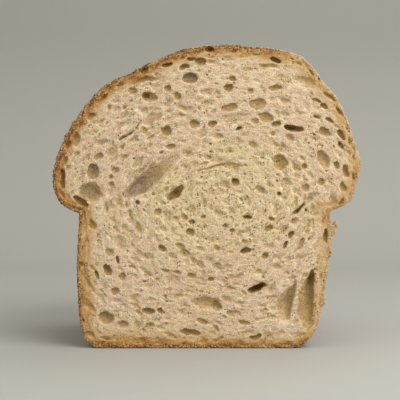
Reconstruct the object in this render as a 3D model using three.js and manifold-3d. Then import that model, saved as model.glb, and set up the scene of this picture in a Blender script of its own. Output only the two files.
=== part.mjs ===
// Half of a tin-baked sandwich loaf, standing on its base with the cut face towards -Y.
// The dough filled a straight-sided tin and then spilled over the rim, so the loaf has two
// forms that run into each other: the walls that the tin shaped, and the crown above them,
// whose lobes hang over the walls at both sides and at the crusted end.
// Millimetres, +Z up. The origin is in the middle of the base.

import * as THREE from 'three';
import { mergeVertices } from 'three/addons/utils/BufferGeometryUtils.js';
import Module from 'manifold-3d';

const wasm = await Module();
wasm.setup();

// Driving dimensions
const loafDepth = 116; // cut face to the furthest reach of the crusted end
const cutFace = -loafDepth / 2; // y of the cut face
const crownEnd = loafDepth / 2; // y of the crown's furthest point
const lipReach = 8; // how far the crown hangs over the end wall
const wallEnd = crownEnd - lipReach; // y of the end wall at the tin's rim
const tinRim = 66; // height at which the dough met the rim
const endDraft = 0.07; // the end wall leans out by this much for each millimetre of height
const largeHole = 60; // width times height above which a hole gets a finer mesh
const trim = 4; // both forms start this far in front of the cut, and are cut off there

// The crown's section at the cut: [x, z], round the outside from the left notch.
const crownOutline = [
  [-62, 65.4], [-70.3, 69], [-74.4, 76], [-75.2, 83.5], [-73.2, 93.5], [-66.2, 108.5],
  [-57.8, 119.8], [-50.5, 127.4], [-37, 134.6], [-20, 142.6], [-7, 146.5], [4, 147.9],
  [18, 147.3], [34, 145.7], [45.5, 142.2], [52, 136.5], [56, 130.8], [63, 122.4],
  [68.4, 111.8], [72, 101.5], [75.2, 88.5], [73.2, 79.5], [70.4, 71.6], [64, 67.6],
  [56, 65.4], [30, 66.2], [0, 64.8], [-32, 66],
];
const crownMiddle = [0, 90];
const crownSides = 116;

// The section of the tin-shaped walls: [x, z], round the outside from the bottom left.
const wallOutline = [
  [-51, -0.6], [-58.4, 2.9], [-61.6, 10], [-62.8, 27], [-63.4, 45], [-62.5, 60], [-61.5, 72],
  [-52, 84], [0, 90], [48, 84], [57.4, 72], [60.6, 62], [60.4, 50], [58.4, 34], [56, 20],
  [53.4, 9.5], [48.4, 2.9], [41, -0.6], [20, -1.2], [-20, -1.2],
];
const wallMiddle = [-2, 42];
const wallSides = 84;

// How round each form's end is: in-plane radius at the bottom, the sides and the top.
const crownRounding = { bottom: 13, side: 32, top: 50, reach: 0.9 };
const wallRounding = { bottom: 8, side: 15, top: 15, reach: 1 };

// The crown sinks and narrows a little towards the crusted end, and swells in between.
const endSink = 0.045;
const swell = { share: 0.011, length: 74 };

// The larger air holes that the knife opened: [x, z, width, height, tilt, depth].
// The tilt is in degrees, positive where the hole rises to the right.
const crownHoles = [
  [-27.9, 121.7, 7.8, 5.3, -12, 5], [-8.4, 131.2, 8.2, 5.3, 10, 3.6], [-11.2, 136.7, 4.8, 2.9, 10, 3.5],
  [-19.7, 105.1, 5.3, 4.4, -20, 3.6], [-17.6, 97.9, 5.3, 2.9, 10, 2.8], [-52.9, 92.9, 4.8, 2.9, 25, 2.5],
  [-55.5, 85.8, 6.1, 8.2, -12, 4], [-56.7, 75.4, 11.6, 9.7, -15, 3.4], [-61.4, 71.3, 8.2, 2.9, -33, 5.5],
  [-69.9, 82.3, 2.4, 9.7, 0, 4], [-33.5, 77.8, 11.6, 4.6, 50, 3], [-15, 75.4, 7.3, 4.4, 35, 5],
  [1.4, 145.4, 4.8, 2.9, 0, 4], [-3.4, 139, 5.3, 3.9, 0, 5], [33.6, 139.9, 5.8, 2.9, -20, 5],
  [46.8, 129.7, 10.7, 5.3, -20, 1.8], [33, 126.3, 6.8, 2.9, 0, 3], [10.5, 126.3, 4.8, 3.4, 15, 4],
  [11, 116.8, 8.7, 3.4, 20, 2.6], [24.5, 118.3, 8.7, 5.8, 5, 2.4], [12.6, 110.8, 13.6, 6.3, 12, 1.6],
  [28.9, 111.8, 7.8, 4.4, -5, 2.8], [42, 106.8, 9.7, 2.4, -8, 9], [-6.1, 108.9, 5.8, 3.9, 8, 3.6],
  [56.7, 117.6, 3.9, 2.9, -25, 3.6], [57.5, 105, 6.3, 3.9, -30, 4], [65.4, 103.4, 2.4, 5.8, 30, 4],
  [56.3, 91.9, 5.3, 9.7, 20, 3], [35.5, 90, 7.8, 6.8, -25, 3.4], [67.3, 86, 2.9, 6.3, 12, 3.6],
  [13.9, 80.5, 3.9, 4.4, 30, 4], [48, 69.6, 11, 1.5, 37, 5],
];
const wallHoles = [
  [-8, 56, 4.4, 3.9, -15, 4], [29.7, 57.8, 4.8, 2.9, 20, 3.2], [18.6, 47.3, 5.3, 2.9, 10, 5],
  [28.2, 44.6, 3.9, 2.9, 30, 3.6], [-48.4, 38.1, 3.9, 5.8, 32, 5], [-42.4, 51, 4.8, 7.3, 30, 1.6],
  [-21.6, 48.5, 4.8, 2.9, -30, 3.6], [23.2, 29.7, 8.2, 2.9, 15, 8], [-0.5, 21.6, 14.5, 7.3, -6, 2.4],
  [-48.8, 14.4, 8.2, 6.3, -15, 4.6], [-28.5, 17.9, 5.8, 3.4, -6, 4.6], [-8.2, 7.5, 9.7, 2.9, -8, 4],
  [38.8, 24.5, 4.8, 11, -5, 3.8], [42.4, 30.3, 2.2, 6, -30, 2.6], [50.6, 33.7, 3.9, 8, -8, 7],
  [49, 26.4, 5.4, 13, -8, 6], [48.4, 17.7, 4.4, 15, 0, 5],
];

// Torn crust and crumb that stands proud of the right side: [x, z, width, height, tilt].
const crags = [
  [73.9, 87.4, 2.8, 4, 20],
  [61.2, 58.2, 2.9, 8.6, -10],
  [56.2, 22.4, 2.8, 5, 6],
  [59.6, 47, 2.2, 6, 8],
];

// Evenly spaced points on a smooth closed curve through an outline.
function closedCurve(outline, count) {
  const corners = outline.map(([x, z]) => new THREE.Vector3(x, 0, z));
  const curve = new THREE.CatmullRomCurve3(corners, true, 'centripetal');
  return curve.getSpacedPoints(count).slice(0, count).map((p) => [p.x, p.z]);
}

// The rounding radius in the direction of a point, from the bottom over the sides to the top.
function radiusTowards({ bottom, side, top }, [mx, mz], [x, z]) {
  const lift = (z - mz) / (Math.hypot(x - mx, z - mz) + 1e-6);
  return lift > 0 ? side + (top - side) * lift ** 2 : side + (bottom - side) * lift ** 2;
}

// How much larger or smaller the crown's section is at y than at the cut.
function crownScale(x, z, y) {
  const share = (y - cutFace) / loafDepth;
  const turn = Math.atan2(z - crownMiddle[1], x);
  const wave = Math.sin((2 * Math.PI * (y - cutFace)) / swell.length + 2 * turn);
  const fadeIn = Math.min(1, share * 4);
  return 1 - endSink * share ** 2 + swell.share * fadeIn * (wave - 1);
}

// A closed mesh from rings of points, with a middle point at each end.
function ringSolid(rings, firstMiddle, lastMiddle) {
  const around = rings[0].length;
  const positions = [...rings.flat(2), ...firstMiddle, ...lastMiddle];
  const indices = [];
  const first = rings.length * around;
  for (let i = 0; i < around; i += 1) {
    const next = (i + 1) % around;
    indices.push(first, i, next);
    for (let k = 0; k + 1 < rings.length; k += 1) {
      const [a, b] = [k * around + i, k * around + next];
      indices.push(a, a + around, b, b, a + around, b + around);
    }
    const last = (rings.length - 1) * around;
    indices.push(first + 1, last + next, last + i);
  }
  const geometry = new THREE.BufferGeometry();
  geometry.setAttribute('position', new THREE.Float32BufferAttribute(positions, 3));
  geometry.setIndex(indices);
  return geometry;
}

// One of the two forms: its section drawn out from the cut, then closed by a rounded end.
function drawnOut({ outline, middle, sides, rounding, endAt, scaleAt, wallSteps, endSteps }) {
  const chain = closedCurve(outline, sides);
  const [mx, mz] = middle;
  // A point of the section moved inwards by a share of its way to the middle.
  const movedIn = ([x, z], share) => [mx + (x - mx) * (1 - share), mz + (z - mz) * (1 - share)];
  const place = ([x, z], y) => {
    const s = scaleAt(x, z, y);
    return [mx + (x - mx) * s, y, mz + (z - mz) * s];
  };
  const endDepth = ([x, z], share) => {
    const radius = radiusTowards(rounding, middle, [x, z]);
    const near = Math.max(0, 1 - (share * Math.hypot(x - mx, z - mz)) / radius);
    return endAt(movedIn([x, z], share)) - radius * rounding.reach * (1 - Math.sqrt(1 - near ** 2));
  };
  const rings = [];
  const start = cutFace - trim;
  for (let k = 0; k < wallSteps; k += 1) {
    rings.push(chain.map((p) => place(p, start + ((endDepth(p, 0) - start) * k) / wallSteps)));
  }
  for (let k = 0; k < endSteps; k += 1) {
    const share = 1 - Math.cos(((k / endSteps) * Math.PI) / 2);
    rings.push(chain.map((p) => place(movedIn(p, share), endDepth(p, share))));
  }
  return ringSolid(rings, place(middle, start), place(middle, endAt(middle)));
}

// Turns a closed geometry into a solid, with its faces pointing out.
function solidOf(geometry) {
  geometry.deleteAttribute('normal');
  geometry.deleteAttribute('uv');
  const merged = mergeVertices(geometry, 1e-4);
  const triVerts = Uint32Array.from(merged.index.array);
  const vertProperties = Float32Array.from(merged.attributes.position.array);
  const make = () => new wasm.Manifold(new wasm.Mesh({ numProp: 3, vertProperties, triVerts }));
  const solid = make();
  if (solid.volume() > 0) return solid;
  for (let i = 0; i < triVerts.length; i += 3) {
    [triVerts[i], triVerts[i + 1]] = [triVerts[i + 1], triVerts[i]];
  }
  return make();
}

// An egg-shaped lump centred on the plane of the cut, or behind it.
function lump([x, z, width, height, tilt], depth, y, detail) {
  const geometry = new THREE.IcosahedronGeometry(1, detail);
  geometry.scale(width / 2, depth, height / 2);
  geometry.rotateY(-THREE.MathUtils.degToRad(tilt));
  geometry.translate(x, y, z);
  return solidOf(geometry);
}

function block(low, high) {
  const [dx, dy, dz] = high.map((v, i) => v - low[i]);
  const geometry = new THREE.BoxGeometry(dx, dy, dz);
  geometry.translate(low[0] + dx / 2, low[1] + dy / 2, low[2] + dz / 2);
  return solidOf(geometry);
}

function makeLoaf() {
  const crown = solidOf(
    drawnOut({
      outline: crownOutline,
      middle: crownMiddle,
      sides: crownSides,
      rounding: crownRounding,
      endAt: () => crownEnd,
      scaleAt: crownScale,
      wallSteps: 7,
      endSteps: 12,
    }),
  );
  const walls = solidOf(
    drawnOut({
      outline: wallOutline,
      middle: wallMiddle,
      sides: wallSides,
      rounding: wallRounding,
      endAt: ([, z]) => wallEnd - endDraft * (tinRim - z),
      scaleAt: () => 1,
      wallSteps: 2,
      endSteps: 10,
    }),
  );
  let loaf = crown.add(walls);
  crags.forEach((crag) => {
    loaf = loaf.add(lump(crag, 6, cutFace + 4, 1));
  });
  [...crownHoles, ...wallHoles].forEach((hole) => {
    const [, , width, height, , depth] = hole;
    const detail = width * height > largeHole ? 2 : 1;
    loaf = loaf.subtract(lump(hole, depth, cutFace, detail));
  });
  // The knife's cut, and the flat face that the tin's floor left.
  const far = 200;
  loaf = loaf.subtract(block([-far, -far, -far], [far, cutFace, far]));
  return loaf.subtract(block([-far, -far, -far], [far, far, 0]));
}

function geometryOf(solid) {
  const { vertProperties, triVerts } = solid.getMesh();
  const geometry = new THREE.BufferGeometry();
  geometry.setAttribute('position', new THREE.Float32BufferAttribute(vertProperties, 3));
  geometry.setIndex(Array.from(triVerts));
  geometry.computeVertexNormals();
  return geometry;
}

const bakedBread = new THREE.MeshStandardMaterial({ color: 0xc9ab7d, roughness: 0.85, metalness: 0 });
const loaf = new THREE.Mesh(geometryOf(makeLoaf()), bakedBread);
loaf.name = 'loaf';

const group = new THREE.Group();
group.add(loaf);

export default group;
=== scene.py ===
# Half of a tin-baked sandwich loaf, cut straight across and standing on its base.
# Four pieces: the crumb with the air holes that the knife opened, the browned crust round it,
# and the loose crumbs that the cut left on each. Shapes are worked out in millimetres.
import math
import time
import bpy
import numpy as np
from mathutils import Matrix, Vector


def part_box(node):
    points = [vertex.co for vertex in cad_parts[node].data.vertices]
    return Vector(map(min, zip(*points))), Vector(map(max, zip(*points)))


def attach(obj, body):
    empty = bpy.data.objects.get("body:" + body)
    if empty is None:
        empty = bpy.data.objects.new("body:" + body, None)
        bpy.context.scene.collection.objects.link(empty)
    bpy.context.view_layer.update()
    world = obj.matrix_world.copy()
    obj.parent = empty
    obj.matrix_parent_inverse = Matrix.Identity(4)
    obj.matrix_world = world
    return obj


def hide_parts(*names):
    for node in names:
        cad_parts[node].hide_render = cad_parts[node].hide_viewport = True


started = time.time()
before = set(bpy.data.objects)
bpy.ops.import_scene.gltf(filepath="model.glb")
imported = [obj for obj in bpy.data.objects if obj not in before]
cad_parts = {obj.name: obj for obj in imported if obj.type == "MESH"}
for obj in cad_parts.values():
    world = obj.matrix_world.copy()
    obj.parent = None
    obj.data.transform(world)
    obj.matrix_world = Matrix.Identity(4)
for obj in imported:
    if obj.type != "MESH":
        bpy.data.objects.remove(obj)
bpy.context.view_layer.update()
mm = 0.001
low, high = [np.array(corner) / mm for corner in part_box("loaf")]
cutFace = low[1]  # y of the knife's cut
cutDepth = 0.4  # how far the cut crumb lies behind it on average, mm
loafDepth = high[1] - low[1]


def report(stage):
    print(f"{time.time() - started:6.1f} s  {stage}")


loafForm = {
    "tinRim": 66,  # height at which the dough met the tin's rim
    "lipReach": 8,  # how far the crown hangs over the end wall
    "endDraft": 0.07,  # lean of the end wall, for each millimetre of height
    "endSink": 0.045,  # share by which the crown narrows towards the crusted end
    "swell": 0.011,  # share by which it swells and shrinks on the way
    "swellLength": 74,
    "swellFrom": 0.25,  # share of the depth over which the swell sets in
    "join": 1.6,  # roundness of the fold where the crown sits down on the walls
}

crown = {
    "outline": [  # [x, z] at the cut, round the outside from the left notch
        (-62, 65.4), (-70.3, 69), (-74.4, 76), (-75.2, 83.5), (-73.2, 93.5), (-66.2, 108.5),
        (-57.8, 119.8), (-50.5, 127.4), (-37, 134.6), (-20, 142.6), (-7, 146.5), (4, 147.9),
        (18, 147.3), (34, 145.7), (45.5, 142.2), (52, 136.5), (56, 130.8), (63, 122.4),
        (68.4, 111.8), (72, 101.5), (75.2, 88.5), (73.2, 79.5), (70.4, 71.6), (64, 67.6),
        (56, 65.4), (30, 66.2), (0, 64.8), (-32, 66),
    ],
    "middle": (0, 90),
    # how round the crusted end is at each side, mm, and how deep that rounding is for its size
    "rounding": {"bottom": 13, "side": 32, "top": 50, "reach": 0.9},
}

walls = {
    "outline": [
        (-51, -0.6), (-58.4, 2.9), (-61.6, 10), (-62.8, 27), (-63.4, 45), (-62.5, 60), (-61.5, 72),
        (-52, 84), (0, 90), (48, 84), (57.4, 72), (60.6, 62), (60.4, 50), (58.4, 34), (56, 20),
        (53.4, 9.5), (48.4, 2.9), (41, -0.6), (20, -1.2), (-20, -1.2),
    ],
    "middle": (-2, 42),
    "rounding": {"bottom": 8, "side": 15, "top": 15, "reach": 1},
}

flakes = {  # torn crust that stands proud at the cut
    "shapes": [  # x, z, width, height, tilt
        (74, 89.4, 3, 4.2, 20),
        (61.3, 57, 3.1, 11, -21),
        (56.2, 22.4, 2.8, 5, 6),
        (59.6, 47, 2.2, 6, 8),
    ],
    "halfDepth": 5,
    "behind": 2,  # mm from the cut back to their middles
    "join": 0.8,
}

planStep = 0.5
planX = np.arange(-82, 82.1, planStep)
planZ = np.arange(-6, 154.1, planStep)


def closedCurve(outline, perSpan=14):
    # points on a smooth closed curve (centripetal Catmull-Rom) through the outline
    points = np.array(outline, dtype=float)
    p0, p1, p2, p3 = [np.roll(points, shift, axis=0) for shift in (1, 0, -1, -2)]
    gap0, gap1, gap2 = [
        np.sqrt(np.linalg.norm(b - a, axis=1))[:, None] for a, b in ((p0, p1), (p1, p2), (p2, p3))
    ]
    slope1 = gap1 * ((p1 - p0) / gap0 - (p2 - p0) / (gap0 + gap1) + (p2 - p1) / gap1)
    slope2 = gap1 * ((p2 - p1) / gap1 - (p3 - p1) / (gap1 + gap2) + (p3 - p2) / gap2)
    spans = []
    for t in np.arange(perSpan) / perSpan:
        spans.append(
            (2 * t**3 - 3 * t**2 + 1) * p1 + (t**3 - 2 * t**2 + t) * slope1
            + (3 * t**2 - 2 * t**3) * p2 + (t**3 - t**2) * slope2
        )
    return np.stack(spans, axis=1).reshape(-1, 2)


def prepareForm(form):
    # the outline's reach in each direction, and a plan of signed distances to it
    chain = closedCurve(form["outline"])
    mx, mz = form["middle"]
    turns = np.arctan2(chain[:, 1] - mz, chain[:, 0] - mx)
    order = np.argsort(turns)
    form["turns"] = turns[order]
    form["reaches"] = np.hypot(chain[:, 0] - mx, chain[:, 1] - mz)[order]
    x, z = np.meshgrid(planX, planZ, indexing="ij")
    nearest = np.full(x.shape, 1e9)
    for (ax, az), (bx, bz) in zip(chain, np.roll(chain, -1, axis=0)):
        ux, uz = bx - ax, bz - az
        along = np.clip(((x - ax) * ux + (z - az) * uz) / (ux * ux + uz * uz), 0, 1)
        nearest = np.minimum(nearest, (x - ax - along * ux) ** 2 + (z - az - along * uz) ** 2)
    inside = np.hypot(x - mx, z - mz) < reachTowards(form, np.arctan2(z - mz, x - mx))
    form["plan"] = np.where(inside, -1, 1) * np.sqrt(nearest)


def reachTowards(form, turn):
    return np.interp(turn, form["turns"], form["reaches"], period=2 * math.pi)


def samplePlan(plan, x, z):
    # a plan's value between its grid points
    i = np.clip((x - planX[0]) / planStep, 0, len(planX) - 1.001)
    k = np.clip((z - planZ[0]) / planStep, 0, len(planZ) - 1.001)
    i0, k0 = i.astype(int), k.astype(int)
    u, v = i - i0, k - k0
    lower = plan[i0, k0] * (1 - u) + plan[i0 + 1, k0] * u
    upper = plan[i0, k0 + 1] * (1 - u) + plan[i0 + 1, k0 + 1] * u
    return lower * (1 - v) + upper * v


def crownScale(turn, y):
    # the crown's size in each direction, times what it is at the cut
    share = np.clip((y - cutFace) / loafDepth, 0, 1)
    wave = np.sin(2 * math.pi * (y - cutFace) / loafForm["swellLength"] + 2 * turn)
    swell = loafForm["swell"] * np.minimum(1, share / loafForm["swellFrom"]) * (wave - 1)
    return 1 - loafForm["endSink"] * share**2 + swell


def formDistance(form, x, y, z, scale, endAt):
    # signed distance to one form: its section drawn out from the cut, then rounded off
    mx, mz = form["middle"]
    rounding = form["rounding"]
    dx, dz = x - mx, z - mz
    turn = np.arctan2(dz, dx)
    reach = np.hypot(dx, dz) + 1e-6
    ends = np.where(dz > 0, rounding["top"], rounding["bottom"])
    radius = rounding["side"] + (ends - rounding["side"]) * (dz / reach) ** 2
    inwards = reachTowards(form, turn) - reach / scale
    past = (y - endAt) / rounding["reach"] + radius
    end = np.hypot(np.maximum(0, radius - inwards), np.maximum(0, past)) - radius
    side = samplePlan(form["plan"], mx + dx / scale, mz + dz / scale)
    return np.maximum(side, end)


def eggDistance(dx, dy, dz, a, b, c, turn):
    # rough signed distance to an egg shape of half sizes a, b and c in x, y and z, turned
    # about y, from offsets to its middle
    cosine, sine = math.cos(turn), math.sin(turn)
    u, v, w = (dx * cosine + dz * sine) / a, (dz * cosine - dx * sine) / c, dy / b
    near = np.sqrt(u * u + v * v + w * w)
    steep = np.sqrt((u / a) ** 2 + (v / c) ** 2 + (w / b) ** 2) + 1e-6
    return near * (near - 1) / steep


def blendedMin(a, b, width):
    # the smaller of two distances, with the crease between them rounded over the width
    h = np.clip(0.5 + 0.5 * (b - a) / width, 0, 1)
    return b + (a - b) * h - width * h * (1 - h)


def blendedMax(a, b, width):
    return -blendedMin(-a, -b, width)


def smoothstep(value, start, end):
    t = np.clip((value - start) / (end - start), 0, 1)
    return t * t * (3 - 2 * t)


def outside(x, y, z):
    # signed distance to the loaf's smooth outside, negative in the bread; the cut is left out
    scale = crownScale(np.arctan2(z - crown["middle"][1], x), y)
    crownPart = formDistance(crown, x, y, z, scale, high[1])
    endWall = high[1] - loafForm["lipReach"] - loafForm["endDraft"] * (loafForm["tinRim"] - z)
    wallPart = formDistance(walls, x, y, z, 1, endWall)
    bread = blendedMin(crownPart, wallPart, loafForm["join"])
    if np.min(y) < cutFace + 3 * flakes["halfDepth"]:
        for cx, cz, width, height, tilt in flakes["shapes"]:
            proud = eggDistance(x - cx, y - cutFace - flakes["behind"], z - cz,
                                width / 2, flakes["halfDepth"], height / 2, math.radians(tilt))
            bread = blendedMin(bread, proud, flakes["join"])
    return np.maximum(bread, -z)


noiseSize = 64
noiseBed = (np.random.default_rng(7).random(noiseSize**3) * 2 - 1).astype(np.float32)
seedStep = np.array((3.71, 8.13, 5.37))  # moves each seed's lumps to a place of their own


def lumps(points, size, seed):
    # smooth noise from -1 to 1, whose lumps are about size mm across
    p = (points / size + seedStep * seed).astype(np.float32)
    cell = np.floor(p).astype(np.int32)
    f = p - cell
    f = f * f * (3 - 2 * f)
    total = np.zeros(len(points), dtype=np.float32)
    for corner in range(8):
        step = np.array((corner & 1, corner >> 1 & 1, corner >> 2 & 1), dtype=np.int32)
        i, j, k = ((cell + step) % noiseSize).T
        weight = np.prod(np.where(step, f, 1 - f), axis=1)
        total += weight * noiseBed[(i * noiseSize + j) * noiseSize + k]
    return total


def twoLumps(points, sizes, seed, share=0.5):
    # lumps of two sizes, the second ones a share as high as the first
    return lumps(points, sizes[0], seed) + share * lumps(points, sizes[1], seed + 1)


def bubbles(points, size):
    # foam: 1 in the middle of a bubble about size mm across, falling to 0 at its edge
    squaredReach, stride = 0.45, 7919  # the stride keeps a cell's three jitters apart
    p = points / size
    cell = np.floor(p).astype(np.int32)
    nearest = np.full(len(points), 9, dtype=np.float32)
    for corner in range(27):
        step = np.array((corner // 9 - 1, corner // 3 % 3 - 1, corner % 3 - 1), dtype=np.int32)
        i, j, k = ((cell + step) % noiseSize).T
        number = (i * noiseSize + j) * noiseSize + k
        apart = np.zeros(len(points), dtype=np.float32)
        for axis in range(3):
            jitter = 0.5 + 0.45 * noiseBed[(number + stride * (axis + 1)) % len(noiseBed)]
            apart += (cell[:, axis] + step[axis] + jitter - p[:, axis]) ** 2
        nearest = np.minimum(nearest, apart)
    return np.clip(1 - nearest / squaredReach, 0, 1)


relief = {
    "crownSink": 0.34,  # how far below the smooth outside the crust lies on average, mm
    "wallSink": 0.14,
    "crownRise": 0.34,  # slow hills and hollows of the crown
    "crownBlister": 0.24,
    "crownWrinkle": 0.22,
    "wallRise": 0.22,
    "wallPit": 0.5,  # pits where steam kept the dough off the tin
    "wallWrinkle": 0.06,
    "basePit": 0.5,
    "baseWrinkle": 0.04,
    "tear": 1.2,  # roughness of the crust's edge at the cut
    "tearDepth": 2.2,
    "tearWave": 0.5,  # and how far that edge wanders in and out
    "cutDrag": 0.11,  # height of the ridges in which the dough was rolled
    "foam": 0.12,  # depth of the fine foam between the holes
    # noise above which there is a blister or a pit, and how much more a pit in the base takes
    "blisterFrom": 0.12,
    "pitFrom": 0.42,
    "basePitFrom": 0.05,
    # height at which the walls' and the base's relief ends, and over how many mm it fades
    "wallTop": (loafForm["tinRim"] + 1, 5),
    "baseTop": (1.8, 1.2),
    # how large each of them is across, mm
    "hillSizes": (19, 9),
    "wrinkleSizes": (3.4, 1.9),
    "blisterSize": 5.2,
    "pitSizes": (2.3, 4.7),
    "tearSizes": (1.3, 2.6),
    "tearWaveSize": 6,
    "dragSizes": (2.6, 1.4),
    "slowDragSize": 7,
    "foamSize": 1.35,
}


def crustSink(points):
    # how far the crust lies below the smooth outside, in mm
    _, y, z = points.T
    hills = twoLumps(points, relief["hillSizes"], 1)
    evened = 0.6  # brings the hills of two sizes back to about 1
    wrinkles = np.abs(twoLumps(points * (1, 0.62, 1), relief["wrinkleSizes"], 3))
    blisters = np.maximum(0, lumps(points, relief["blisterSize"], 5) - relief["blisterFrom"])
    crownSink = (
        relief["crownSink"] - relief["crownRise"] * hills * evened
        - relief["crownBlister"] * blisters + relief["crownWrinkle"] * (0.5 - wrinkles)
    )
    pits = np.maximum(0, twoLumps(points, relief["pitSizes"], 6, 0.6) - relief["pitFrom"])
    wallSink = (
        relief["wallSink"] - relief["wallRise"] * hills * evened
        + relief["wallPit"] * pits + relief["wallWrinkle"] * wrinkles
    )
    basePits = np.maximum(0, pits - relief["basePitFrom"])
    baseSink = relief["basePit"] * basePits + relief["baseWrinkle"] * wrinkles
    onWalls, onBase = [
        np.clip((top - z) / fade, 0, 1) for top, fade in (relief["wallTop"], relief["baseTop"])
    ]
    sink = crownSink * (1 - onWalls) + wallSink * onWalls
    sink = sink * (1 - onBase) + baseSink * onBase
    torn = np.exp(-np.maximum(0, y - cutFace) / relief["tearDepth"]) * (1 - 0.6 * onBase)
    crumbs = np.abs(twoLumps(points, relief["tearSizes"], 8, 0.6))
    wave = relief["tearWave"] * (1 - onBase) * lumps(points, relief["tearWaveSize"], 18)
    return sink + torn * (relief["tear"] * (crumbs - 0.15) + wave)


swirl = {  # of the rolled dough, at the cut
    "middle": (8.7, 70.6),  # x and z
    "stretch": 1.5,  # width over height
    "rosyFrom": (16, 40),  # mm out from its middle over which the crumb turns rosier
    "roundReach": 42,  # mm out from its middle, within which the holes get rounder
}


def swirlPlace(x, z):
    # a place round the swirl's middle, with the swirl drawn back to a round one
    mx, mz = swirl["middle"]
    return (x - mx) / swirl["stretch"], z - mz


def grainPlace(points, along, across):
    # a place in the dough's grain, where even patterns come out drawn round the swirl
    x, y, z = points.T
    dx, dz = swirlPlace(x, z)
    outwards = across * np.hypot(dx, dz)
    return np.stack([along * dx + 0.6 * y, along * dz - 0.6 * y, outwards + 0.5 * y], axis=1)


def cutSink(points):
    # how far the cut crumb lies behind the plane of the cut, in mm
    drag = twoLumps(grainPlace(points, along=0.4, across=0.92), relief["dragSizes"], 10, 0.6)
    drag = drag + 0.5 * lumps(points, relief["slowDragSize"], 19)
    return cutDepth + relief["cutDrag"] * drag + relief["foam"] * bubbles(points, relief["foamSize"])


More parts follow.
